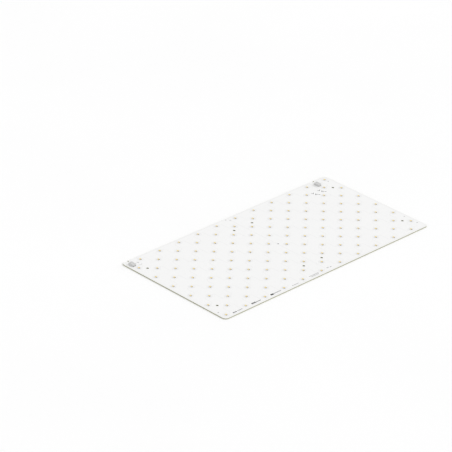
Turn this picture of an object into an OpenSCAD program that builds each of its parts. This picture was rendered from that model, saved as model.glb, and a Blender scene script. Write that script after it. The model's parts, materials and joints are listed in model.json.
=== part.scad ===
// Flat LED light module: a laminate board under white lacquer, with LEDs in staggered rows and two wire terminals.
// The board lies in XY with its underside on z = 0 and its centre over the origin. The terminal edge faces +Y.

/* [Board] */
// Length of the board along X
board_l = 500; // [420:1:700]
// Width of the board along Y
board_w = 250; // [245:1:300]
// Thickness of the bare laminate
board_t = 1.6; // [0.8:0.1:3.2]
// Radius of the board's corners
corner_r = 7.5; // [3:0.5:10]
// Width of a wire notch in the back edge
notch_w = 7; // [5:0.5:9]
// Depth of a wire notch
notch_d = 3.75; // [2:0.25:4]
// Radius of a notch's inner corners
notch_r = 0.75; // [0.5:0.25:2]

/* [Fixing holes] */
// Diameter of the fixing holes, for a 3.5 mm screw
hole_d = 4.2; // [2.5:0.1:5]
// Distance of the outer holes from the short edges
hole_edge_x = 22; // [18:0.5:26]
// Distance of the inner holes from the board's middle line
hole_mid_x = 22; // [18:0.5:26]
// Distance of all the holes from the long edges
hole_edge_y = 41.5; // [39:0.5:45]
// Bare ring left round a hole by the lacquer and the copper
hole_relief = 0.3; // [0.1:0.1:1]

/* [LED field] */
// Strings of LEDs on each half of the board
strings = 6; // [5:1:6]
// LEDs in one string
leds_per_string = 11; // [9:1:13]
// Placement grid that the LED spacing is rounded to
placement_grid = 0.02; // [0.01:0.01:0.1]

/* [LED package] */
// Side of the square body
led_w = 3.5; // [2.8:0.1:4]
// Height of the body
led_h = 0.75; // [0.5:0.05:1.2]
// Chamfer that marks one corner of the body
led_mark = 0.4; // [0.2:0.05:0.6]
// Rim of the body left beside the light window at the top
window_rim = 0.2; // [0.1:0.05:0.6]
// Draw-in of the window's wall on its way down
window_draw = 0.15; // [0.05:0.05:0.3]
// Width of one lead, along the string
lead_w = 1.1; // [0.6:0.05:1.15]
// Reach of a lead past the body at each end, across the string
lead_out = 0.5; // [0.1:0.05:0.8]
// Thickness of the leads inside the body
lead_t = 0.15; // [0.1:0.05:0.25]
// Gap between the two leads
lead_gap = 0.5; // [0.3:0.05:0.7]
// Solder under the leads, between them and the copper
solder_t = 0.1; // [0.06:0.01:0.2]
// Side of the square chip
chip_w = 0.8; // [0.6:0.05:1.2]
// Thickness of the chip
chip_t = 0.2; // [0.1:0.05:0.3]

/* [Copper and lacquer] */
// Thickness of the copper foil
copper_t = 0.07; // [0.035:0.005:0.14]
// Diameter of the copper island round an LED
island_d = 12.5; // [8:0.5:13]
// Gap that splits an island in two
island_gap = 0.4; // [0.2:0.05:0.45]
// Width of the links between islands
link_w = 1.2; // [0.5:0.1:2]
// Radius at the middle of a link's bends
link_r = 3.5; // [1.5:0.25:5]
// Width of the supply rails
rail_w = 1.5; // [0.8:0.1:1.8]
// Distance of the rails from the board's edge
rail_edge = 1.9; // [1.2:0.1:2.2]
// Least radius at the inside of the rails' corners
rail_r = 0.5; // [0.2:0.1:1.5]
// Lacquer over the copper
mask_t = 0.05; // [0.02:0.01:0.08]
// Bare margin of laminate along the board's edge
mask_edge = 0.25; // [0.1:0.05:0.8]
// Play between a lacquer opening and what stands in it
mask_play = 0.1; // [0.05:0.05:0.2]

/* [Bare pads] */
// Diameter of a bare corner pad
pad_d = 2.4; // [1:0.1:3]
// Width of the bare ring round a corner pad
pad_ring = 0.2; // [0.1:0.1:1]
// Diameter of the temperature pad by the middle of the board
probe_d = 2.8; // [1.5:0.1:3]
// Distance of the temperature pad from the middle rail
probe_x = 1.5; // [1:0.25:2.5]
// Front left pad's distances from the short edge and, upward, from the first column's lowest LED
pad_front_left = [7, 13.6]; // [6:0.1:15]
// Front right pad's distances from the short edge and, downward, from the last column's lowest LED
pad_front_right = [7, 11.2]; // [6:0.1:15]
// Back right pad's distances from the short edge and, downward, from the last column's topmost LED
pad_back_right = [10.5, 8.6]; // [8:0.1:15]

/* [Terminals] */
// Width of a terminal housing, across its wires
terminal_w = 8; // [7.6:0.1:9]
// Length of a terminal housing, along its wires
terminal_l = 11.6; // [11:0.1:12.4]
// Height of a terminal housing
terminal_h = 4; // [3.6:0.1:5.5]
// Distance of a housing's middle from the back edge
terminal_edge = 16.5; // [15.5:0.25:17]
// Shift of the terminals from the notches
terminal_shift = -1.5; // [-2:0.25:0]
// Distance between the two wires of a terminal
pole_pitch = 4; // [3.6:0.1:4.4]
// Radius of the housing's upright corners
housing_r = 1; // [0.4:0.1:1.4]
// Chamfer along the housing's top edges
housing_chamfer = 0.5; // [0.2:0.1:0.8]
// Diameter of a wire hole
wire_d = 1.8; // [1.2:0.1:2.2]
// Height of the wire holes over the lacquer
wire_h = 1.7; // [1.5:0.1:2]
// Length of the straight part of a wire hole
wire_hole_l = 2.2; // [1.5:0.1:2.6]
// Diameter of the lead-in at a wire hole's mouth
mouth_d = 2.6; // [2.3:0.1:2.9]
// Depth of the lead-in
mouth_l = 0.8; // [0.4:0.1:1.2]
// Width of the chamber that holds a contact
chamber_w = 2.4; // [2.1:0.1:3]
// Height of the chamber
chamber_h = 3.1; // [2.9:0.1:3.3]
// Thickness of the wall behind the chamber
rear_wall = 1.3; // [0.8:0.1:2]
// Height of the opening in the wall behind a contact
rear_h = 1; // [1:0.1:2.6]
// Play on each side of a solder tab in that opening
rear_play = 0.15; // [0.1:0.05:0.4]
// Length of the release slot over each contact
slot_l = 1.4; // [1.2:0.1:3]
// Width of the release slot
slot_w = 0.9; // [0.8:0.1:2]
// Width of the groove between the poles
groove_w = 0.5; // [0.3:0.1:1]
// Depth of the groove between the poles
groove_d = 0.4; // [0.2:0.1:0.8]

/* [Contacts] */
// Thickness of a contact's strip
strip_t = 0.3; // [0.15:0.05:0.4]
// Width of a contact's strip
strip_w = 1.8; // [1.2:0.1:2]
// Width of the solder tab
tab_w = 1.4; // [0.8:0.1:1.7]
// Length of the solder tab outside the housing
tab_l = 1.2; // [0.6:0.1:1.4]
// Height of the spring's free end over the lacquer
spring_gap = 0.7; // [0.5:0.05:1]
// Reach of the spring back from its front bend
spring_reach = 2.8; // [2:0.1:3.4]
// Play between a contact and its chamber
contact_play = 0.1; // [0.05:0.05:0.2]
// Copper kept round a solder tab and round the temperature pad
land_margin = 0.3; // [0.1:0.05:0.5]

/* [Hidden] */
$fn = 48;
// Overshoot of cutting shapes past the faces that they open
over = 1;

// Levels of the stack, from the laminate up
copper_top = board_t + copper_t;
face_z = copper_top + mask_t;
led_z = copper_top + solder_t;

// Length of one lead, across the string
lead_l = led_w + 2 * lead_out;
// Diameter of the light window at the top
window_d = led_w - 2 * window_rim;

// Spacing of the LED lattice
columns = 2 * leds_per_string;
last_column = columns - 1;
rows = 2 * strings;
pitch_x = on_grid(board_l / columns);
pitch_y = on_grid(board_w / rows);
halves = ["left", "right"];

// Places of the fixing holes
hole_xs = [-board_l / 2 + hole_edge_x, -hole_mid_x, hole_mid_x, board_l / 2 - hole_edge_x];
hole_ys = [-board_w / 2 + hole_edge_y, board_w / 2 - hole_edge_y];

// Places of the notches, on the first column and the last but one, and of the terminals by them
notch_xs = [led_x(0), led_x(last_column - 1)];
terminal_xs = [for (x = notch_xs) x + terminal_shift];
terminal_y = board_w / 2 - terminal_edge;
pole_sides = [-1, 1];

// Stretches of a terminal along its wires, from its own middle
mouth_y = terminal_l / 2 - mouth_l;
chamber_front = mouth_y - wire_hole_l;
chamber_back = -terminal_l / 2 + rear_wall;
tab_end = -terminal_l / 2 - tab_l;

// Places of the copper that feeds the terminals
land_y = terminal_y - terminal_l / 2 - tab_l / 2;
riser_x = notch_w / 2 - terminal_shift + rail_edge + rail_w / 2;

// Places of the bare corner pads
pad_spots = [
    [pad_front_left.x - board_l / 2, led_y(strings, 0) + pad_front_left.y],
    [board_l / 2 - pad_front_right.x, led_y(strings, last_column) - pad_front_right.y],
    [board_l / 2 - pad_back_right.x, led_y(1, last_column) - pad_back_right.y]
];

function on_grid(length) = placement_grid * round(length / placement_grid);
function led_x(column) = (column - last_column / 2) * pitch_x;
function led_y(string, column) = (strings - 2 * string + (column % 2 == 0 ? 0.5 : 1.5)) * pitch_y;
function first_column(half) = half == "left" ? 0 : leds_per_string;
function spot(half, string, k) =
    let (column = first_column(half) + k)
    [led_x(column), led_y(string, column)];
function spots(half, string) = [for (k = [0 : leds_per_string - 1]) spot(half, string, k)];

string_names = [for (half = halves) for (s = [1 : strings]) str(half, "_", s)];
pole_names = [for (half = halves) for (pole = ["plus", "minus"]) str(half, "_contact_", pole)];

// Flat outlines

module rounded_rect(l, w, r) {
    square([l - 2 * r, w], center = true);
    square([l, w - 2 * r], center = true);
    for (sx = [-1, 1], sy = [-1, 1])
        translate([sx * (l / 2 - r), sy * (w / 2 - r)])
            circle(r);
}

module board_outline(inset = 0) {
    difference() {
        rounded_rect(board_l - 2 * inset, board_w - 2 * inset, corner_r - inset);
        for (x = notch_xs)
            translate([x, board_w / 2])
                rounded_rect(notch_w + 2 * inset, 2 * (notch_d + inset), notch_r + inset);
    }
}

module hole_reliefs() {
    for (x = hole_xs, y = hole_ys)
        translate([x, y])
            circle(d = hole_d + 2 * hole_relief);
}

// One half of the island round an LED, on the side given by its sign
module half_island(side) {
    intersection() {
        circle(d = island_d);
        translate([side * (island_gap + island_d) / 2, 0])
            square(island_d, center = true);
    }
}

// Half of a link, drawn from the middle of its upright run to the LED at (-run, -rise)
module half_link(run, rise) {
    outer_r = link_r + link_w / 2;
    start = island_d / 4;
    translate([start - run, -rise - link_w / 2])
        square([run - start - link_r, link_w]);
    translate([-link_r, link_r - rise])
        intersection() {
            difference() {
                circle(outer_r);
                circle(link_r - link_w / 2);
            }
            translate([0, -outer_r])
                square(outer_r);
        }
    translate([-link_w / 2, link_r - rise])
        square([link_w, rise - link_r]);
}

// The copper that joins the LED at a to the next one at b
module link_copper(a, b) {
    translate(a)
        half_island(1);
    translate(b)
        half_island(-1);
    translate((a + b) / 2)
        mirror([0, b.y < a.y ? 1 : 0])
            for (turn = [0, 180])
                rotate(turn)
                    half_link(pitch_x / 2, pitch_y / 2);
}

// The half island at a string's end and the level stub from it to the rail at rail_x
module end_copper(led, side, rail_x) {
    stub_start = led.x + side * island_d / 4;
    translate(led)
        half_island(side);
    translate([min(stub_start, rail_x), led.y - link_w / 2])
        square([abs(rail_x - stub_start), link_w]);
}

// A band at the rails' distance from the board's edge
module rail_ring() {
    inner_edge = rail_edge + rail_w;
    inner_r = max(corner_r - inner_edge, rail_r);
    difference() {
        rounded_rect(board_l - 2 * rail_edge, board_w - 2 * rail_edge, inner_r + rail_w);
        rounded_rect(board_l - 2 * inner_edge, board_w - 2 * inner_edge, inner_r);
    }
}

// Land under a solder tab and the copper that leads from it, level to x_end and then up to the back rail if it rises
module tab_copper(pole_x, x_end, rises) {
    land_w = tab_w + 2 * land_margin;
    level_w = abs(x_end - pole_x) + rail_w / 2;
    translate([pole_x, land_y])
        square([land_w, tab_l + 2 * land_margin], center = true);
    translate([x_end > pole_x ? pole_x : pole_x - level_w, land_y - rail_w / 2])
        square([level_w, rail_w]);
    if (rises)
        translate([x_end - rail_w / 2, land_y])
            square([rail_w, board_w / 2 - rail_edge - land_y]);
}

// Flat pattern of the plus net: left, front and right rails, outer string ends and one land at each terminal
module plus_pattern() {
    side_x = board_l / 2 - rail_edge - rail_w / 2;
    gate_x = terminal_xs[1] + riser_x - rail_w / 2;
    difference() {
        rail_ring();
        translate([-board_l, land_y + rail_w / 2])
            square([board_l + gate_x, board_w]);
    }
    tab_copper(terminal_xs[0] - pole_pitch / 2, -side_x, false);
    tab_copper(terminal_xs[1] + pole_pitch / 2, terminal_xs[1] + riser_x, true);
    for (s = [1 : strings]) {
        end_copper(spot("left", s, 0), -1, -side_x);
        end_copper(spot("right", s, leds_per_string - 1), 1, side_x);
    }
}

// Flat pattern of the minus net: back and middle rails, inner string ends and the other two lands
module minus_pattern() {
    back_x = [terminal_xs[0] + riser_x, terminal_xs[1] - riser_x];
    middle_end = led_y(strings, 0);
    intersection() {
        rail_ring();
        translate([back_x[0] - rail_w / 2, 0])
            square([back_x[1] - back_x[0] + rail_w, board_w]);
    }
    tab_copper(terminal_xs[0] + pole_pitch / 2, back_x[0], true);
    tab_copper(terminal_xs[1] - pole_pitch / 2, back_x[1], true);
    translate([-rail_w / 2, middle_end - link_w / 2])
        square([rail_w, board_w / 2 - rail_edge - middle_end + link_w / 2]);
    translate([probe_x, 0])
        circle(d = probe_d + 2 * land_margin);
    translate([0, -link_w / 2])
        square([probe_x, link_w]);
    for (s = [1 : strings]) {
        end_copper(spot("left", s, leds_per_string - 1), 1, 0);
        end_copper(spot("right", s, 0), -1, 0);
    }
}

// Flat pattern of the links of one string
module links_pattern(half, string) {
    leds = spots(half, string);
    for (k = [0 : leds_per_string - 2])
        link_copper(leds[k], leds[k + 1]);
}

// Flat feet of one LED's two leads, grown by play
module lead_feet(play = 0) {
    for (side = [-1, 1])
        translate([side * (lead_gap + lead_w) / 2, 0])
            square([lead_w + 2 * play, lead_l + 2 * play], center = true);
}

// Board and its layers

module board() {
    color("darkolivegreen")
        difference() {
            linear_extrude(board_t)
                board_outline();
            for (x = hole_xs, y = hole_ys)
                translate([x, y, -over])
                    cylinder(d = hole_d, h = board_t + 2 * over);
        }
}

module foil() {
    color("peru")
        translate([0, 0, board_t])
            linear_extrude(copper_t)
                difference() {
                    children();
                    hole_reliefs();
                }
}

module copper_net_plus() {
    foil()
        plus_pattern();
}

module copper_net_minus() {
    foil()
        minus_pattern();
}

module copper_links(half, string) {
    foil()
        links_pattern(half, string);
}

module corner_pads() {
    color("silver")
        translate([0, 0, board_t])
            linear_extrude(copper_t)
                for (p = pad_spots)
                    translate(p)
                        circle(d = pad_d);
}

module mask_openings() {
    for (half = halves, s = [1 : strings], p = spots(half, s))
        translate(p)
            lead_feet(mask_play);
    for (x = terminal_xs, side = pole_sides)
        translate([x + side * pole_pitch / 2, land_y])
            square([tab_w + 2 * mask_play, tab_l + 2 * mask_play], center = true);
    for (p = pad_spots)
        translate(p)
            circle(d = pad_d + 2 * pad_ring);
    translate([probe_x, 0])
        circle(d = probe_d);
    hole_reliefs();
}

module solder_mask() {
    color("whitesmoke")
        difference() {
            translate([0, 0, board_t])
                linear_extrude(copper_t + mask_t)
                    board_outline(mask_edge);
            copper_net_plus();
            copper_net_minus();
            for (half = halves, s = [1 : strings])
                copper_links(half, s);
            translate([0, 0, board_t - over])
                linear_extrude(copper_t + mask_t + 2 * over)
                    mask_openings();
        }
}

// LEDs

module led_places(half, string) {
    for (p = spots(half, string))
        translate([p.x, p.y, led_z])
            children();
}

module light_window() {
    translate([0, 0, lead_t])
        cylinder(h = led_h - lead_t, d1 = window_d - 2 * window_draw, d2 = window_d);
}

module chip() {
    translate([-chip_w / 2, -chip_w / 2, lead_t])
        cube([chip_w, chip_w, chip_t]);
}

module led_chips() {
    color("midnightblue")
        for (half = halves, s = [1 : strings])
            led_places(half, s)
                chip();
}

module led_leads(half, string) {
    color("silver")
        led_places(half, string)
            translate([0, 0, -solder_t])
                linear_extrude(solder_t + lead_t)
                    lead_feet();
}

module led_body_outline() {
    reach = led_w / 2;
    polygon([
        [-reach, -reach], [reach, -reach], [reach, reach - led_mark],
        [reach - led_mark, reach], [-reach, reach]
    ]);
}

module led_bodies(half, string) {
    color("gainsboro")
        led_places(half, string)
            difference() {
                linear_extrude(led_h)
                    led_body_outline();
                light_window();
                linear_extrude(lead_t)
                    lead_feet();
            }
}

module led_phosphor(half, string) {
    color("goldenrod")
        led_places(half, string)
            difference() {
                light_window();
                chip();
            }
}

// Terminals

module at_terminal(half) {
    translate([terminal_xs[half == "left" ? 0 : 1], terminal_y, face_z])
        children();
}

// A block with chamfered top edges and round corners, built as the overlap of its three views
module housing_block() {
    c = housing_chamfer;
    intersection() {
        translate([terminal_w / 2, 0, 0])
            rotate([90, 0, -90])
                linear_extrude(terminal_w)
                    top_chamfered(terminal_l, terminal_h, c);
        translate([0, terminal_l / 2, 0])
            rotate([90, 0, 0])
                linear_extrude(terminal_l)
                    top_chamfered(terminal_w, terminal_h, c);
        linear_extrude(terminal_h)
            rounded_rect(terminal_w, terminal_l, housing_r);
    }
}

module top_chamfered(w, h, c) {
    polygon([
        [-w / 2, 0], [w / 2, 0], [w / 2, h - c],
        [w / 2 - c, h], [c - w / 2, h], [-w / 2, h - c]
    ]);
}

// What one pole takes out of the housing: lead-in, wire hole, chamber, release slot and the rear opening for the tab
module pole_cut() {
    chamber_l = chamber_front - chamber_back;
    rear_w = tab_w + 2 * rear_play;
    translate([0, mouth_y, wire_h])
        rotate([-90, 0, 0])
            cylinder(d1 = wire_d, d2 = mouth_d, h = mouth_l);
    translate([0, chamber_front - over, wire_h])
        rotate([-90, 0, 0])
            cylinder(d = wire_d, h = wire_hole_l + over);
    translate([-chamber_w / 2, chamber_back, -over])
        cube([chamber_w, chamber_l, chamber_h + over]);
    translate([-slot_w / 2, chamber_front - slot_l, chamber_h - over])
        cube([slot_w, slot_l, terminal_h]);
    translate([-rear_w / 2, -terminal_l / 2 - over, -over])
        cube([rear_w, rear_wall + 2 * over, over + rear_h]);
}

module terminal_housing(half) {
    color("lightgrey")
        at_terminal(half)
            difference() {
                housing_block();
                for (side = pole_sides)
                    translate([side * pole_pitch / 2, 0, 0])
                        pole_cut();
                translate([-groove_w / 2, -terminal_l, terminal_h - groove_d])
                    cube([groove_w, 2 * terminal_l, terminal_h]);
            }
}

// A strip of even thickness along a path of points
module strip_outline(path) {
    for (k = [0 : len(path) - 2]) {
        step = path[k + 1] - path[k];
        translate(path[k])
            rotate(atan2(step.y, step.x))
                translate([0, -strip_t / 2])
                    square([norm(step), strip_t]);
        if (k > 0)
            translate(path[k])
                circle(d = strip_t);
    }
}

// A bent contact: floor strip, rear upright, roof strip and the spring that slopes back down to grip the wire.
// Its tab goes out under the rear wall and is soldered to its land.
module contact(half, side) {
    inset = contact_play + strip_t / 2;
    floor_z = strip_t / 2;
    roof_z = chamber_h - inset;
    rear_y = chamber_back + inset;
    front_y = chamber_front - inset;
    bend_y = front_y - strip_t;
    path = [
        [front_y, floor_z], [rear_y, floor_z], [rear_y, roof_z],
        [bend_y, roof_z], [bend_y - spring_reach, spring_gap]
    ];
    color("gold")
        at_terminal(half)
            translate([side * pole_pitch / 2, 0, 0]) {
                translate([-strip_w / 2, 0, 0])
                    rotate([90, 0, 90])
                        linear_extrude(strip_w)
                            strip_outline(path);
                translate([-tab_w / 2, tab_end, 0])
                    cube([tab_w, rear_y - tab_end, strip_t]);
                translate([-tab_w / 2, tab_end, -mask_t])
                    cube([tab_w, tab_l, mask_t + strip_t]);
            }
}

board();
solder_mask();
copper_net_plus();
copper_net_minus();
corner_pads();
led_chips();
for (half = halves, s = [1 : strings]) {
    copper_links(half, s);
    led_leads(half, s);
    led_bodies(half, s);
    led_phosphor(half, s);
}
for (half = halves) {
    terminal_housing(half);
    contact(half, half == "left" ? -1 : 1);
    contact(half, half == "left" ? 1 : -1);
}
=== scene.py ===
"""Looks of the LED module: finishes, lacquer relief, soft edges, solder, print, light, floor and camera."""
import json
import math
from collections import namedtuple

import bmesh
import bpy
from mathutils import Matrix, Vector


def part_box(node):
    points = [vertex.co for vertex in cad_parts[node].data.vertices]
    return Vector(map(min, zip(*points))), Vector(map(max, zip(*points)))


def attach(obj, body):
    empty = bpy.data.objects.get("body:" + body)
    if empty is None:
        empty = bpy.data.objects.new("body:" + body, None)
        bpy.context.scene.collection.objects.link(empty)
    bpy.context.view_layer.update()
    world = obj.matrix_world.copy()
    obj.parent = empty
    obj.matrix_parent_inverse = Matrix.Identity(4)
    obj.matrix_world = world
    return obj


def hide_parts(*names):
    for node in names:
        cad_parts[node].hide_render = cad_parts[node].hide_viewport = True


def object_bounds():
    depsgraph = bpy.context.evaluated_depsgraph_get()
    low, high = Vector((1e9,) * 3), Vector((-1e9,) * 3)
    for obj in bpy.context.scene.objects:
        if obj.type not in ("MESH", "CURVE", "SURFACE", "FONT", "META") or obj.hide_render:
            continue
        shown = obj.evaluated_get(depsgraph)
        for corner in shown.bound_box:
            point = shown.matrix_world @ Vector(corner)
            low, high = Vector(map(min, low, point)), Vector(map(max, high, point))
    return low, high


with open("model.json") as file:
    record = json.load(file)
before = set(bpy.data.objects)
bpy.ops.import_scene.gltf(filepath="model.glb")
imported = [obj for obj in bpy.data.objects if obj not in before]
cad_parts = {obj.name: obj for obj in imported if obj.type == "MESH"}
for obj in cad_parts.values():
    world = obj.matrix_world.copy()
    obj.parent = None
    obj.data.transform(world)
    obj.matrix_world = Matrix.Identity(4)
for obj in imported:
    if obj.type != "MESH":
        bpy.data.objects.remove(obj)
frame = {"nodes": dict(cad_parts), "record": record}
cad_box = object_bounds()

MM = 0.001
NODES = frame["nodes"]
STRINGS = sorted(name.removeprefix("led_bodies_") for name in NODES if name.startswith("led_bodies_"))
HALVES = ("left", "right")
POLES = ("plus", "minus")

# Levels and edges read off the solids
board_low, board_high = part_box("board")
face_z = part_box("solder_mask")[1].z
copper_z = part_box("copper_net_minus")[1].z

# Meshes: points closer than the reach are one. The turns are of faces that lie flat together, of edges that
# are softened and of edges that look smooth
JOIN_REACH = 0.001 * MM
FLAT_TURN = math.radians(0.5)
SHARP_TURN = math.radians(30)
SMOOTH_TURN = math.radians(40)

# Lacquer relief over the copper: rise over the face, root under it and softened rim
RELIEF_H = 0.02 * MM
RELIEF_SINK = 0.02 * MM
RELIEF_EDGE = 0.012 * MM

# Openings in the relief: play round what stands in them, and height of the blocks that cut them
OPENING_PLAY = 0.12 * MM
CUTTER_H = 1 * MM

# Softened edges of the moulded pieces
LED_EDGE = 0.06 * MM
HOUSING_EDGE = 0.16 * MM

# LEDs: a reach that takes in one of them alone, the dip in its filling and the fineness of that mesh
LED_REACH = 5 * MM
DISH = 0.05 * MM
DISH_RINGS = 5
DISH_SEGMENTS = 32

# Solder at the leads: climb up the case, run past the lead, bite into the case and steps of the curve
FILLET_RISE = 0.14 * MM
FILLET_RUN = 0.08 * MM
FILLET_BITE = 0.02 * MM
FILLET_STEPS = 6

# Solder on the terminals' tabs: rise over the tab, play round it, cells along a side, and how squarely it
# swells from its sides and its front
MOUND_H = 0.22 * MM
MOUND_PLAY = 0.09 * MM
MOUND_STEPS = 10
MOUND_SIDE_POWER = 4
MOUND_FRONT_POWER = 3

# Tin on the temperature pad: place, diameter, rise, height of the dome in rises, and the fineness of its mesh
PROBE_X = 1.5 * MM
PROBE_D = 2.8 * MM
TIN_RISE = 0.03 * MM
TIN_DOME = 1.5
TIN_RINGS = 4
TIN_SEGMENTS = 32

# Ink of the print, which lies over the relief: its thickness, and how far a bar laid over another rises
INK_T = 0.03 * MM
INK_STEP = 0.004 * MM

# Printed bars, in millimetres: corners, and the uneven lengths and the gaps in a row
BAR_R = 0.3
BAR_CORNER_STEPS = 4
BAR_SHARES = (1.0, 0.7, 1.2)
BAR_GAP = 0.45

# Rows of plain bars along the front edge, in millimetres: ink, start, end, inset from the edge, height, count
FRONT_ROWS = [
    ("grey_ink", -226, -217.5, 7, 2.4, 3),
    ("pale_ink", -215.4, -204, 7, 2.2, 4),
    ("grey_ink", -181.5, -172, 8, 3.8, 3),
    ("grey_ink", -171.4, -160.3, 7.6, 1.8, 4),
    ("dark_ink", -136.5, -129.4, 8, 3.6, 1),
    ("pale_ink", -128.4, -112, 8.2, 2.4, 5),
    ("pale_ink", -86.9, -71.4, 6.3, 1.4, 4),
    ("pale_ink", -42.4, -19.8, 9.4, 1.4, 6),
    ("pale_ink", -40, -22, 6.4, 1.4, 4),
    ("pale_ink", 2, 7, 11, 2.0, 2),
    ("pale_ink", 8.8, 13, 9.8, 1.6, 1),
]

# Two groups of slanting marks by the right terminal: their places and turn, and in each group a mark's ink,
# place along and across the group, length, width and turn within it
MARK_GROUPS = [(186, 84.5), (203, 85.5)]
GROUP_TURN = -45
GROUP_MARKS = [
    ("grey_ink", -7.8, 2.2, 3.2, 1.0, 0),
    ("grey_ink", -5.3, 3.2, 5.5, 1.0, 90),
    ("dark_ink", -1.1, 0, 5.5, 1.0, 90),
    ("dark_ink", 1.1, 0, 4.0, 1.0, 90),
    ("grey_ink", 5.2, -0.2, 3.8, 1.3, 0),
]

# Plus and minus signs by the left terminal, in millimetres: places, an arm's length and width, and the leader
# line that stands before each sign
SIGN_INK = "pale_ink"
PLUS_SIGN = (-226.2, 109)
MINUS_SIGN = (-226.2, 100.8)
SIGN_ARM = (4.2, 0.8)
LEADER = (3.4, 0.7)
LEADER_SHIFT = -4.8

# Single marks, in millimetres and degrees: ink, place, length, width, turn
MARKS = [
    ("pale_ink", -6, 120.6, 3.6, 1.2, 0),
    ("pale_ink", -0.6, 114.4, 3.6, 1.2, 0),
    ("pale_ink", 243, -74.5, 3.2, 1.2, 90),
]

# Picture and camera
PICTURE_PX = 452
FOCAL_PX = 2686
SENSOR_MM = 36
VIEW_AZIMUTH = -45.96
VIEW_ELEVATION = 27.98
VIEW_ROLL = 2.491
VIEW_DISTANCE = 4.6125
VIEW_RIGHT = -0.08977
VIEW_UP = 0.02642
VIEW_TARGET_H = 0.7 * MM
CLIP_END = 100

# Light and floor
SKY = 0.80
KEY_STRENGTH = 1.2
KEY_AZIMUTH = 72
KEY_ELEVATION = 40
KEY_SPREAD = 70
FLOOR_SIZE = 12
FLOOR_DROP = 0.02 * MM
FLOOR_DARK = (0.945, 0.945, 0.945)
FLOOR_LIGHT = (0.955, 0.955, 0.955)

# A noise's values lie mostly between these
NOISE_LOW = 0.3
NOISE_HIGH = 0.7

# White of the lacquer, and how much of it is left over the copper
LACQUER = (0.889, 0.889, 0.886)
OVER_COPPER = 0.951

# Laminate, as stops of its pattern, where the cut walls lie below 0.5 and the faces above it
LAMINATE_STOPS = [
    (0.0, (0.16, 0.16, 0.11)),
    (0.08, (0.335, 0.335, 0.22)),
    (0.25, (0.485, 0.48, 0.35)),
    (0.45, (0.605, 0.60, 0.465)),
    (0.59, (0.605, 0.60, 0.465)),
    (0.76, (0.48, 0.48, 0.40)),
    (1.0, (0.56, 0.555, 0.47)),
]

# Painted shade in the holes: walls of the laminate at least this far from the board's edge are drawn this
# much lower in its pattern, which darkens them
DRILLED_INSET = 6 * MM
HOLE_PAINTED_SHADE = 0.14

# LED case, as stops from the darkest painted shade on its ends that face Y, through greyer painted shade on
# its sides, up to its pale top
CASE_PAINTED_SHADE_STOPS = [
    (0.06, (0.10, 0.10, 0.11)),
    (0.25, (0.20, 0.20, 0.21)),
    (0.45, (0.78, 0.78, 0.77)),
    (0.6, (0.80, 0.795, 0.78)),
    (0.95, (0.82, 0.81, 0.77)),
]

# Filling, as stops from over the chip out to the wall
PHOSPHOR_STOPS = [
    (0.15, (0.92, 0.59, 0.08)),
    (0.55, (0.94, 0.67, 0.13)),
    (0.95, (0.95, 0.75, 0.24)),
]

# Chip, as stops from the dark semiconductor to its conductor fingers
CHIP_STOPS = [(0.75, (0.02, 0.03, 0.06)), (0.9, (0.45, 0.38, 0.2))]

# Ink: the noise at which it covers fully, and how much paler it is where it is thin
INK_FULL = 0.65
INK_THIN = 1.35


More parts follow.
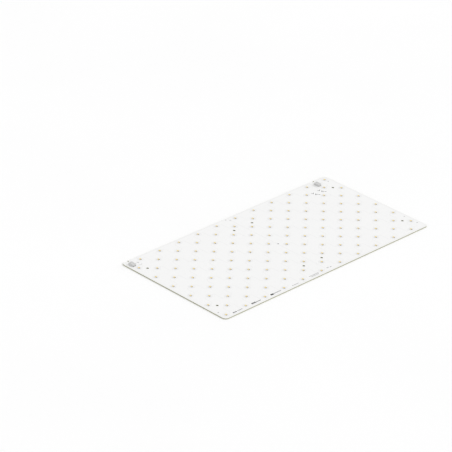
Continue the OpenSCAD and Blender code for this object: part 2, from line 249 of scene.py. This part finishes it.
class Look:
    """A node material on one principled shader, patterned in the part's own metres."""

    def __init__(self, name, roughness, metallic=0.0, specular=0.5):
        self.material = bpy.data.materials.new(name)
        self.material.use_nodes = True
        self.tree = self.material.node_tree
        self.shader = self.tree.nodes["Principled BSDF"]
        self.shader.inputs["Roughness"].default_value = roughness
        self.shader.inputs["Metallic"].default_value = metallic
        self.shader.inputs["Specular IOR Level"].default_value = specular
        self.coordinates = self.tree.nodes.new("ShaderNodeTexCoord").outputs
        self.place = self.coordinates["Object"]

    def link(self, out, into):
        self.tree.links.new(out, into)

    def noise(self, size, detail):
        """Cloudy values with features of about that size."""
        node = self.tree.nodes.new("ShaderNodeTexNoise")
        node.inputs["Scale"].default_value = 1 / size
        node.inputs["Detail"].default_value = detail
        self.link(self.place, node.inputs["Vector"])
        return node.outputs["Fac"]

    def bands(self, period, axis, distortion=0.0):
        """Stripes of that period along one axis."""
        node = self.tree.nodes.new("ShaderNodeTexWave")
        node.bands_direction = axis
        node.inputs["Scale"].default_value = math.pi / (10 * period)
        node.inputs["Distortion"].default_value = distortion
        node.inputs["Detail"].default_value = 1.0
        self.link(self.place, node.inputs["Vector"])
        return node.outputs["Fac"]

    def facing(self, axis):
        """How far the surface faces along an axis, either way: 1 square to it, 0 beside it."""
        node = self.tree.nodes.new("ShaderNodeSeparateXYZ")
        self.link(self.coordinates["Normal"], node.inputs["Vector"])
        return self.calc("ABSOLUTE", node.outputs[axis], 0)

    def inside(self, high, inset):
        """1 further than the inset from the sides of a box about the origin, else 0."""
        node = self.tree.nodes.new("ShaderNodeSeparateXYZ")
        self.link(self.place, node.inputs["Vector"])
        within = []
        for axis, reach in (("X", high.x), ("Y", high.y)):
            distance = self.calc("ABSOLUTE", node.outputs[axis], 0)
            within.append(self.calc("LESS_THAN", distance, reach - inset))
        return self.calc("MULTIPLY", *within)

    def from_middle(self):
        """Distance from the middle of the surface's own map, which is 1 at its rim."""
        node = self.tree.nodes.new("ShaderNodeVectorMath")
        node.operation = "LENGTH"
        self.link(self.coordinates["UV"], node.inputs[0])
        return node.outputs["Value"]

    def calc(self, operation, a, b):
        """Arithmetic on two values, each a number or another node's output."""
        node = self.tree.nodes.new("ShaderNodeMath")
        node.operation = operation
        for socket, value in zip(node.inputs, (a, b)):
            if isinstance(value, (int, float)):
                socket.default_value = value
            else:
                self.link(value, socket)
        return node.outputs["Value"]

    def blend(self, a, b, share):
        """The first value and that share of the second, added to a full measure."""
        return self.calc("ADD", self.calc("MULTIPLY", a, 1 - share), self.calc("MULTIPLY", b, share))

    def colour(self, value, stops):
        """Base colour along a value, as (position, colour) stops."""
        node = self.tree.nodes.new("ShaderNodeValToRGB")
        elements = node.color_ramp.elements
        while len(elements) < len(stops):
            elements.new(1.0)
        for element, (position, colour) in zip(elements, stops):
            element.position = position
            element.color = (*colour, 1.0)
        self.link(value, node.inputs["Fac"])
        self.link(node.outputs["Color"], self.shader.inputs["Base Color"])

    def two_tone(self, value, low, high):
        """Base colour from one tone to another along a noise."""
        self.colour(value, [(NOISE_LOW, low), (NOISE_HIGH, high)])

    def rough(self, value, low, high):
        """Roughness from low to high along a value."""
        node = self.tree.nodes.new("ShaderNodeMapRange")
        node.inputs["To Min"].default_value = low
        node.inputs["To Max"].default_value = high
        self.link(value, node.inputs["Value"])
        self.link(node.outputs["Result"], self.shader.inputs["Roughness"])

    def bump(self, value, height, strength):
        """Fine relief of that height along a value."""
        node = self.tree.nodes.new("ShaderNodeBump")
        node.inputs["Strength"].default_value = strength
        node.inputs["Distance"].default_value = height
        self.link(value, node.inputs["Height"])
        self.link(node.outputs["Normal"], self.shader.inputs["Normal"])


def shade(colour, factor):
    """A colour made darker or lighter by a factor."""
    return tuple(factor * channel for channel in colour)


def lacquer_look(name, colour):
    """Satin white lacquer: broad clouding, fine specks and a slight orange peel."""
    look = Look(name, 0.55, specular=0.25)
    specks = look.noise(0.35 * MM, 2)
    clouds = look.blend(look.noise(70 * MM, 3), specks, 0.4)
    look.two_tone(clouds, shade(colour, 0.985), colour)
    look.rough(specks, 0.48, 0.62)
    look.bump(look.noise(0.5 * MM, 3), 0.004 * MM, 0.5)
    return look.material


def laminate_look():
    """Glass-epoxy: olive cut edges with plies, paler faces with yarns under resin, and the walls of the holes
    darkened as painted shade.
    """
    look = Look("laminate", 0.6)
    plies = look.bands(0.2 * MM, "Z", 1.5)
    yarns = look.calc("MULTIPLY", look.bands(0.5 * MM, "X", 1.0), look.bands(0.5 * MM, "Y", 1.0))
    cloth = look.blend(plies, yarns, 0.45)
    mixed = look.blend(cloth, look.noise(1.5 * MM, 4), 0.45)
    face = look.facing("Z")
    wall = look.calc("SUBTRACT", 1, face)
    # Painted shade: walls away from the board's edge, which are those of the holes, are drawn darker.
    drilled_wall = look.calc("MULTIPLY", look.inside(board_high, DRILLED_INSET), wall)
    darker = look.calc("MULTIPLY", drilled_wall, HOLE_PAINTED_SHADE)
    look.colour(look.calc("SUBTRACT", look.blend(mixed, face, 0.5), darker), LAMINATE_STOPS)
    look.rough(mixed, 0.7, 0.5)
    look.bump(cloth, 0.012 * MM, 0.6)
    return look.material


def metal_look(name, dark, light, roughness):
    """Soft-shining metal with a cloudy, slightly pitted skin."""
    look = Look(name, roughness, 1.0)
    clouds = look.noise(0.6 * MM, 4)
    look.two_tone(clouds, dark, light)
    look.rough(clouds, roughness + 0.12, roughness - 0.08)
    look.bump(look.noise(0.15 * MM, 3), 0.003 * MM, 0.6)
    return look.material


def plastic_look(name, colour, grain, roughness):
    """Moulded plastic with a fine eroded grain and faint flow marks."""
    look = Look(name, roughness)
    specks = look.noise(grain, 2)
    flow = look.blend(look.noise(4 * MM, 3), specks, 0.4)
    look.two_tone(flow, shade(colour, 0.93), colour)
    look.rough(specks, roughness - 0.07, roughness + 0.1)
    look.bump(specks, 0.006 * MM, 0.7)
    return look.material


def case_look():
    """Moulded LED case with mould marks: a pale top, and painted shade by how each face turns, greyer on the
    sides and darkest on the ends.
    """
    look = Look("led_body", 0.5)
    marks = look.blend(look.noise(0.1 * MM, 3), look.bands(0.05 * MM, "Z", 2.0), 0.4)
    # Painted shade: faces turned away from the top are drawn greyer on the sides facing X and darkest on the
    # ends facing Y.
    side = look.calc("MULTIPLY", look.facing("X"), 0.5)
    painted_shade_by_facing = look.calc("MAXIMUM", look.facing("Z"), side)
    look.colour(look.blend(painted_shade_by_facing, marks, 0.25), CASE_PAINTED_SHADE_STOPS)
    look.rough(marks, 0.45, 0.65)
    look.bump(marks, 0.004 * MM, 0.6)
    return look.material


def phosphor_look():
    """Amber filling: grains of phosphor, deeper over the chip and paler towards the wall."""
    look = Look("phosphor", 0.5, specular=0.2)
    grains = look.noise(0.06 * MM, 3)
    look.colour(look.blend(look.from_middle(), grains, 0.35), PHOSPHOR_STOPS)
    look.rough(grains, 0.4, 0.6)
    look.bump(grains, 0.005 * MM, 0.5)
    return look.material


def ink_look(name, colour):
    """Screen-printed ink, a little broken where the mesh left it thin."""
    look = Look(name, 0.75)
    cover = look.blend(look.noise(0.18 * MM, 2), look.noise(2 * MM, 2), 0.3)
    look.colour(cover, [(NOISE_LOW, shade(colour, INK_THIN)), (INK_FULL, colour)])
    look.bump(cover, 0.004 * MM, 0.6)
    return look.material


def chip_look():
    """Dark semiconductor with fine conductor fingers."""
    look = Look("chip", 0.3)
    look.colour(look.bands(0.09 * MM, "Y"), CHIP_STOPS)
    look.bump(look.noise(0.05 * MM, 2), 0.002 * MM, 0.4)
    return look.material


def floor_look():
    """Matt studio floor with broad, faint clouding."""
    look = Look("floor", 0.8)
    look.two_tone(look.noise(0.4, 2), FLOOR_DARK, FLOOR_LIGHT)
    return look.material


LOOKS = {
    "laminate": laminate_look(),
    "lacquer": lacquer_look("lacquer", LACQUER),
    "lacquer_on_copper": lacquer_look("lacquer_on_copper", shade(LACQUER, OVER_COPPER)),
    "copper": metal_look("copper", (0.62, 0.33, 0.20), (0.80, 0.47, 0.32), 0.35),
    "tinned_metal": metal_look("tinned_metal", (0.50, 0.50, 0.51), (0.70, 0.70, 0.70), 0.42),
    # Solder is drawn dark: partly its dull metal, partly painted shade at the feet of the LEDs, where its
    # fillets stand.
    "solder": metal_look("solder", (0.20, 0.20, 0.21), (0.36, 0.36, 0.36), 0.48),
    "led_body": case_look(),
    "phosphor": phosphor_look(),
    "chip": chip_look(),
    "terminal_plastic": plastic_look("terminal_plastic", (0.66, 0.66, 0.655), 0.15 * MM, 0.55),
    "contact_metal": metal_look("contact_metal", (0.62, 0.60, 0.54), (0.80, 0.78, 0.72), 0.36),
    "dark_ink": ink_look("dark_ink", (0.02, 0.02, 0.02)),
    "grey_ink": ink_look("grey_ink", (0.12, 0.12, 0.12)),
    "pale_ink": ink_look("pale_ink", (0.36, 0.36, 0.36)),
}


def finish_nodes():
    """Gives every solid the finish of its record slot."""
    for part in frame["record"]["subparts"]:
        slots = NODES[part["node"]].data.materials
        slots.clear()
        slots.append(LOOKS[part["material_slot"]])


def add_piece(name, bm, look):
    """Makes a mesh piece of the object that rides on the body and takes one of the looks."""
    mesh = bpy.data.meshes.new(name)
    bm.to_mesh(mesh)
    bm.free()
    mesh.materials.append(LOOKS[look])
    piece = bpy.data.objects.new(name, mesh)
    bpy.context.scene.collection.objects.link(piece)
    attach(piece, "root")
    return piece


def solid_copy(node):
    """A joined-up copy of a node's mesh with flat faces in one piece."""
    bm = bmesh.new()
    bm.from_mesh(NODES[node].data)
    bmesh.ops.remove_doubles(bm, verts=bm.verts, dist=JOIN_REACH)
    bmesh.ops.dissolve_limit(bm, angle_limit=FLAT_TURN, verts=bm.verts, edges=bm.edges)
    return bm


def sharp_edges(bm, keep):
    """Edges with a sharp turn that pass the test."""
    return [e for e in bm.edges if len(e.link_faces) == 2 and e.calc_face_angle(0) > SHARP_TURN and keep(e)]


def smooth_small_turns(bm):
    """Smooth shading that breaks at the edges."""
    for face in bm.faces:
        face.smooth = True
    for edge in bm.edges:
        edge.smooth = len(edge.link_faces) == 2 and edge.calc_face_angle(0) < SMOOTH_TURN


def soft_edged(node, name, look, width, keep):
    """A copy of a node with softened edges, which stands for it."""
    bm = solid_copy(node)
    bmesh.ops.bevel(bm, geom=sharp_edges(bm, keep), offset=width, segments=2, profile=0.5,
                    affect="EDGES", clamp_overlap=True)
    smooth_small_turns(bm)
    piece = add_piece(name, bm, look)
    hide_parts(node)


def points_box(points):
    """Lowest and highest corners of some points."""
    low = Vector(min(p[k] for p in points) for k in range(3))
    high = Vector(max(p[k] for p in points) for k in range(3))
    return low, high


def points_near(node, centre):
    """The node's points within an LED's reach of a place, seen from above."""
    return [v.co for v in NODES[node].data.vertices if (v.co.xy - centre.xy).length < LED_REACH]


# One LED's light window: its middle, top and foot radii, and its levels
Window = namedtuple("Window", "centre top_r foot_r foot_z top_z")


def windows_of(name):
    """The light windows of a string, read off its fillings."""
    node = "led_phosphor_" + name
    found = []
    for vertex in NODES[node].data.vertices:
        if any((vertex.co.xy - w.centre.xy).length < LED_REACH for w in found):
            continue
        points = points_near(node, vertex.co)
        low, high = points_box(points)
        centre = (low + high) / 2
        foot_r = max((p.xy - centre.xy).length for p in points if p.z - low.z < JOIN_REACH)
        found.append(Window(centre, (high.x - low.x) / 2, foot_r, low.z, high.z))
    return found


led_windows = {name: windows_of(name) for name in STRINGS}


def leads_of(name):
    """Boxes of a string's leads, two at each LED."""
    boxes = []
    for window in led_windows[name]:
        points = points_near("led_leads_" + name, window.centre)
        for side in (-1, 1):
            boxes.append(points_box([p for p in points if side * (p.x - window.centre.x) > 0]))
    return boxes


led_leads = {name: leads_of(name) for name in STRINGS}


def tabs_of(half):
    """Boxes of a terminal's solder tabs, from their ends to the housing."""
    boxes = []
    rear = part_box(half + "_terminal_housing")[0].y
    for pole in POLES:
        points = [v.co for v in NODES[f"{half}_contact_{pole}"].data.vertices if v.co.y < rear]
        low, high = points_box(points)
        boxes.append((low, Vector((high.x, rear, high.z))))
    return boxes


def cutter(boxes):
    """A cutting tool: one mesh of blocks that stand over the given boxes with some play."""
    bm = bmesh.new()
    for low, high in boxes:
        size = high - low
        block = Matrix.Diagonal((size.x + 2 * OPENING_PLAY, size.y + 2 * OPENING_PLAY, CUTTER_H, 1))
        place = Matrix.Translation(((low.x + high.x) / 2, (low.y + high.y) / 2, face_z))
        bmesh.ops.create_cube(bm, size=1, matrix=place @ block)
    mesh = bpy.data.meshes.new("cutter")
    bm.to_mesh(mesh)
    bm.free()
    tool = bpy.data.objects.new("cutter", mesh)
    bpy.context.scene.collection.objects.link(tool)
    return tool


def cut_openings(piece, boxes):
    """The piece's mesh with the openings cut, for editing."""
    tool = cutter(boxes)
    modifier = piece.modifiers.new("openings", "BOOLEAN")
    modifier.operation = "DIFFERENCE"
    modifier.solver = "EXACT"
    modifier.object = tool
    graph = bpy.context.evaluated_depsgraph_get()
    cut = bpy.data.meshes.new_from_object(piece.evaluated_get(graph))
    piece.modifiers.clear()
    bpy.data.objects.remove(tool)
    bm = bmesh.new()
    bm.from_mesh(cut)
    bpy.data.meshes.remove(cut)
    return bm


def relief(node, name, boxes):
    """The lacquer's raised skin over one copper node, open where the lacquer is open."""
    bm = solid_copy(node)
    low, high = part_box(node)
    for vertex in bm.verts:
        top = vertex.co.z > (low.z + high.z) / 2
        vertex.co.z = face_z + (RELIEF_H if top else -RELIEF_SINK)
    piece = add_piece(name, bm, "lacquer_on_copper")
    bm = cut_openings(piece, boxes)
    bmesh.ops.dissolve_limit(bm, angle_limit=FLAT_TURN, verts=bm.verts, edges=bm.edges)
    rim = sharp_edges(bm, lambda e: min(v.co.z for v in e.verts) > face_z + RELIEF_H / 2)
    bmesh.ops.bevel(bm, geom=rim, offset=RELIEF_EDGE, segments=1, affect="EDGES", clamp_overlap=True)
    bmesh.ops.dissolve_degenerate(bm, dist=JOIN_REACH, edges=bm.edges)
    bm.to_mesh(piece.data)
    bm.free()


def add_reliefs():
    """Raised lacquer over all the copper, open at the leads, the tabs and the bare temperature pad."""
    tabs = [box for half in HALVES for box in tabs_of(half)]
    every_lead = [box for boxes in led_leads.values() for box in boxes]
    reach = Vector((PROBE_D / 2, PROBE_D / 2, 0))
    probe = (Vector((PROBE_X, 0, 0)) - reach, Vector((PROBE_X, 0, 0)) + reach)
    for name in STRINGS:
        relief("copper_links_" + name, "lacquer_on_links_" + name, led_leads[name])
    relief("copper_net_plus", "lacquer_on_net_plus", every_lead + tabs)
    relief("copper_net_minus", "lacquer_on_net_minus", every_lead + tabs + [probe])


def ring(bm, centre, radius, z, segments):
    """A level circle of points."""
    points = []
    for k in range(segments):
        t = 2 * math.pi * k / segments
        points.append(bm.verts.new((centre.x + radius * math.cos(t), centre.y + radius * math.sin(t), z)))
    return points


def skin(bm, rings, hub):
    """Faces between level circles from the lowest one up to a point at the middle, closed underneath."""
    faces = []
    count = len(rings[0])
    for outer, inner in zip(rings, rings[1:]):
        faces += [bm.faces.new((outer[k], outer[(k + 1) % count], inner[(k + 1) % count], inner[k]))
                  for k in range(count)]
    faces += [bm.faces.new((rings[-1][k], rings[-1][(k + 1) % count], hub)) for k in range(count)]
    for face in faces:
        face.smooth = True
    return faces + [bm.faces.new(list(reversed(rings[0])))]


def dish(bm, layer, window):
    """Filling of one LED: a shallow dish at the top, down the sloping wall to the floor."""
    centre, top_r, foot_r, foot_z, top_z = window
    rings = [ring(bm, centre, foot_r, foot_z, DISH_SEGMENTS)]
    for k in range(DISH_RINGS, 0, -1):
        share = k / DISH_RINGS
        rings.append(ring(bm, centre, top_r * share, top_z - DISH * (1 - share ** 2), DISH_SEGMENTS))
    hub = bm.verts.new((centre.x, centre.y, top_z - DISH))
    for face in skin(bm, rings, hub):
        for loop in face.loops:
            loop[layer].uv = (loop.vert.co - centre).xy / top_r


def add_fillings(name):
    """Dished fillings of one string."""
    bm = bmesh.new()
    layer = bm.loops.layers.uv.new("light")
    for window in led_windows[name]:
        dish(bm, layer, window)
    smooth_small_turns(bm)
    piece = add_piece("led_filling_" + name, bm, "phosphor")
    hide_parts("led_phosphor_" + name)


def add_cases(name):
    """LED cases with softened edges above the foot, which stays square on the board."""
    node = "led_bodies_" + name
    low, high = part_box(node)
    foot_z = low.z + (high.z - low.z) / 3
    soft_edged(node, "led_cases_" + name, "led_body", LED_EDGE,
               lambda e: max(v.co.z for v in e.verts) > foot_z)


def soldered_lead(bm, box, case_y):
    """One lead with a hollow curve of solder at both ends: an outline in Y and Z, drawn out along X."""
    low, high = box
    middle_y = (low.y + high.y) / 2
    reach = high.y - middle_y + FILLET_RUN
    climb = high.z + FILLET_RISE
    curve = []
    for k in range(FILLET_STEPS + 1):
        t = math.radians(90 * k / FILLET_STEPS)
        curve.append((reach - (reach - case_y) * math.sin(t), climb - (climb - low.z) * math.cos(t)))
    half = curve + [(case_y - FILLET_BITE, high.z)]
    outline = half + [(-y, z) for y, z in reversed(half)]
    near, far = ([bm.verts.new((x, middle_y + y, z)) for y, z in outline] for x in (low.x, high.x))
    bm.faces.new(list(reversed(near)))
    bm.faces.new(far)
    for k in range(len(outline)):
        n = (k + 1) % len(outline)
        bm.faces.new((near[k], near[n], far[n], far[k]))


def add_leads(name):
    """Soldered leads of one string. The cases are square, so their half depth shows at the lowest LED."""
    bm = bmesh.new()
    case_y = min(window.centre.y for window in led_windows[name]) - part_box("led_bodies_" + name)[0].y
    for box in led_leads[name]:
        soldered_lead(bm, box, case_y)
    bmesh.ops.recalc_face_normals(bm, faces=bm.faces)
    smooth_small_turns(bm)
    piece = add_piece("soldered_leads_" + name, bm, "solder")
    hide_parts("led_leads_" + name)


def add_leds():
    for name in STRINGS:
        add_cases(name)
        add_fillings(name)
        add_leads(name)


def mound(bm, box):
    """A pillow of solder over one tab, highest at the housing and thin at its free edges."""
    low, high = box
    x0, x1 = low.x - MOUND_PLAY, high.x + MOUND_PLAY
    y0, y1 = low.y - MOUND_PLAY, high.y
    rows = []
    for j in range(MOUND_STEPS + 1):
        v = j / MOUND_STEPS
        row = []
        for i in range(MOUND_STEPS + 1):
            u = i / MOUND_STEPS
            swell = (1 - (2 * u - 1) ** MOUND_SIDE_POWER) * (1 - (1 - v) ** MOUND_FRONT_POWER)
            z = copper_z + (high.z + MOUND_H - copper_z) * swell
            row.append(bm.verts.new((x0 + (x1 - x0) * u, y0 + (y1 - y0) * v, z)))
        rows.append(row)
    for j in range(MOUND_STEPS):
        for i in range(MOUND_STEPS):
            near, right, far, left = rows[j][i], rows[j][i + 1], rows[j + 1][i + 1], rows[j + 1][i]
            if i < MOUND_STEPS / 2:
                halves = ((near, right, far), (near, far, left))
            else:
                halves = ((near, right, left), (right, far, left))
            for corners in halves:
                bm.faces.new(corners).smooth = True
    rear = [bm.verts.new((v.co.x, v.co.y, copper_z)) for v in rows[-1][1:-1]]
    bm.faces.new(list(reversed(rows[-1])) + rear)
    bm.faces.new([row[0] for row in rows] + rear + [row[-1] for row in reversed(rows)] + rows[0][-2:0:-1])


def add_terminals():
    """Housings with softened edges above the foot, and solder over their tabs."""
    for half in HALVES:
        node = half + "_terminal_housing"
        foot_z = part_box(node)[0].z + HOUSING_EDGE
        soft_edged(node, half + "_terminal_shell", "terminal_plastic", HOUSING_EDGE,
                   lambda e: max(v.co.z for v in e.verts) > foot_z)
        bm = bmesh.new()
        for box in tabs_of(half):
            mound(bm, box)
        bmesh.ops.recalc_face_normals(bm, faces=bm.faces)
        add_piece(half + "_tab_solder", bm, "tinned_metal")


def add_probe_tin():
    """Tin on the bare temperature pad, a little domed."""
    bm = bmesh.new()
    centre = Vector((PROBE_X, 0, 0))
    radius = PROBE_D / 2
    rings = [ring(bm, centre, radius, copper_z - TIN_RISE, TIN_SEGMENTS)]
    for k in range(TIN_RINGS, 0, -1):
        share = k / TIN_RINGS
        z = copper_z + TIN_RISE * (TIN_DOME - share ** 2)
        rings.append(ring(bm, centre, radius * share, z, TIN_SEGMENTS))
    skin(bm, rings, bm.verts.new((centre.x, centre.y, copper_z + TIN_RISE * TIN_DOME)))
    add_piece("temperature_pad_tin", bm, "solder")


def bar(bm, x, y, length, width, turn, layer=0):
    """A printed bar with round corners. A bar that crosses another lies one layer higher."""
    r = min(BAR_R, length / 2, width / 2)
    reach_x, reach_y = length / 2 - r, width / 2 - r
    outline = []
    for side_x, side_y, start in ((1, -1, -90), (1, 1, 0), (-1, 1, 90), (-1, -1, 180)):
        for k in range(BAR_CORNER_STEPS + 1):
            a = math.radians(start + 90 * k / BAR_CORNER_STEPS)
            outline.append((side_x * reach_x + r * math.cos(a), side_y * reach_y + r * math.sin(a)))
    turned = Matrix.Rotation(math.radians(turn), 2)
    points = [MM * (Vector((x, y)) + turned @ Vector(p)) for p in outline]
    top = [bm.verts.new((*p, face_z + INK_T + layer * INK_STEP)) for p in points]
    foot = [bm.verts.new((*p, face_z - INK_T)) for p in points]
    bm.faces.new(top)
    bm.faces.new(list(reversed(foot)))
    for k in range(len(points)):
        n = (k + 1) % len(points)
        bm.faces.new((foot[k], foot[n], top[n], top[k]))


def bar_row(bm, x0, x1, y, height, count):
    """A row of bars of uneven lengths that fills the stretch from x0 to x1."""
    shares = [BAR_SHARES[k % len(BAR_SHARES)] for k in range(count)]
    scale = (x1 - x0 - (count - 1) * BAR_GAP) / sum(shares)
    x = x0
    for share in shares:
        bar(bm, x + share * scale / 2, y, share * scale, height, 0)
        x += share * scale + BAR_GAP


def mark_group(bm, ink, x, y):
    """The marks of one ink in a slanting group."""
    turn = Matrix.Rotation(math.radians(GROUP_TURN), 2)
    for mark_ink, along, across, length, width, mark_turn in GROUP_MARKS:
        if mark_ink == ink:
            place = Vector((x, y)) + turn @ Vector((along, across))
            bar(bm, place.x, place.y, length, width, GROUP_TURN + mark_turn)


def signs(bm):
    """A plus and a minus sign, each with its leader line."""
    for (x, y), turns in ((PLUS_SIGN, (0, 90)), (MINUS_SIGN, (0,))):
        for layer, turn in enumerate(turns):
            bar(bm, x, y, *SIGN_ARM, turn, layer)
        bar(bm, x + LEADER_SHIFT, y, *LEADER, 0)


def add_print():
    """All the marks of one ink make one thin piece, drawn in millimetres on the lacquer's face."""
    for ink in ("dark_ink", "grey_ink", "pale_ink"):
        bm = bmesh.new()
        for row_ink, x0, x1, inset, height, count in FRONT_ROWS:
            if row_ink == ink:
                bar_row(bm, x0, x1, board_low.y / MM + inset, height, count)
        for x, y in MARK_GROUPS:
            mark_group(bm, ink, x, y)
        for mark_ink, x, y, length, width, turn in MARKS:
            if mark_ink == ink:
                bar(bm, x, y, length, width, turn)
        if ink == SIGN_INK:
            signs(bm)
        add_piece("print_" + ink, bm, ink)


def add_floor():
    """One plain sheet just under the board."""
    bm = bmesh.new()
    bmesh.ops.create_grid(bm, x_segments=1, y_segments=1, size=FLOOR_SIZE / 2)
    mesh = bpy.data.meshes.new("floor")
    bm.to_mesh(mesh)
    bm.free()
    mesh.materials.append(floor_look())
    floor = bpy.data.objects.new("floor", mesh)
    floor.location.z = cad_box[0].z - FLOOR_DROP
    bpy.context.scene.collection.objects.link(floor)


def direction(azimuth, elevation):
    """Unit vector from the part towards that azimuth, which is 0 at -Y and 90 at +X, and elevation."""
    a, e = math.radians(azimuth), math.radians(elevation)
    return Vector((math.sin(a) * math.cos(e), -math.cos(a) * math.cos(e), math.sin(e)))


def add_light():
    """An even white sky, and one broad soft light from the side of +X."""
    world = bpy.data.worlds.new("studio")
    bpy.context.scene.world = world
    world.use_nodes = True
    background = world.node_tree.nodes["Background"]
    background.inputs["Color"].default_value = (1, 1, 1, 1)
    background.inputs["Strength"].default_value = SKY
    key = bpy.data.lights.new("key", "SUN")
    key.energy = KEY_STRENGTH
    key.angle = math.radians(KEY_SPREAD)
    lamp = bpy.data.objects.new("key", key)
    lamp.rotation_euler = direction(KEY_AZIMUTH, KEY_ELEVATION).to_track_quat("Z", "Y").to_euler()
    bpy.context.scene.collection.objects.link(lamp)


def add_camera():
    """A long lens at the photograph's angle, rolled a little and moved sideways to its framing."""
    a, roll = math.radians(VIEW_AZIMUTH), math.radians(VIEW_ROLL)
    back = direction(VIEW_AZIMUTH, VIEW_ELEVATION)
    level = Vector((math.cos(a), math.sin(a), 0))
    rise = back.cross(level)
    right = math.cos(roll) * level + math.sin(roll) * rise
    up = math.cos(roll) * rise - math.sin(roll) * level
    target = Vector((0, 0, face_z + VIEW_TARGET_H))
    place = target + VIEW_RIGHT * level + VIEW_UP * rise + VIEW_DISTANCE * back
    data = bpy.data.cameras.new("camera")
    data.sensor_width = SENSOR_MM
    data.lens = FOCAL_PX / PICTURE_PX * SENSOR_MM
    data.clip_end = CLIP_END
    camera = bpy.data.objects.new("camera", data)
    axes = Matrix((right, up, back)).transposed().to_4x4()
    camera.matrix_world = Matrix.Translation(place) @ axes
    bpy.context.scene.collection.objects.link(camera)
    bpy.context.scene.camera = camera


finish_nodes()
add_reliefs()
add_leds()
add_terminals()
add_probe_tin()
add_print()
add_floor()
add_light()
add_camera()
bpy.context.scene.view_settings.view_transform = "Standard"
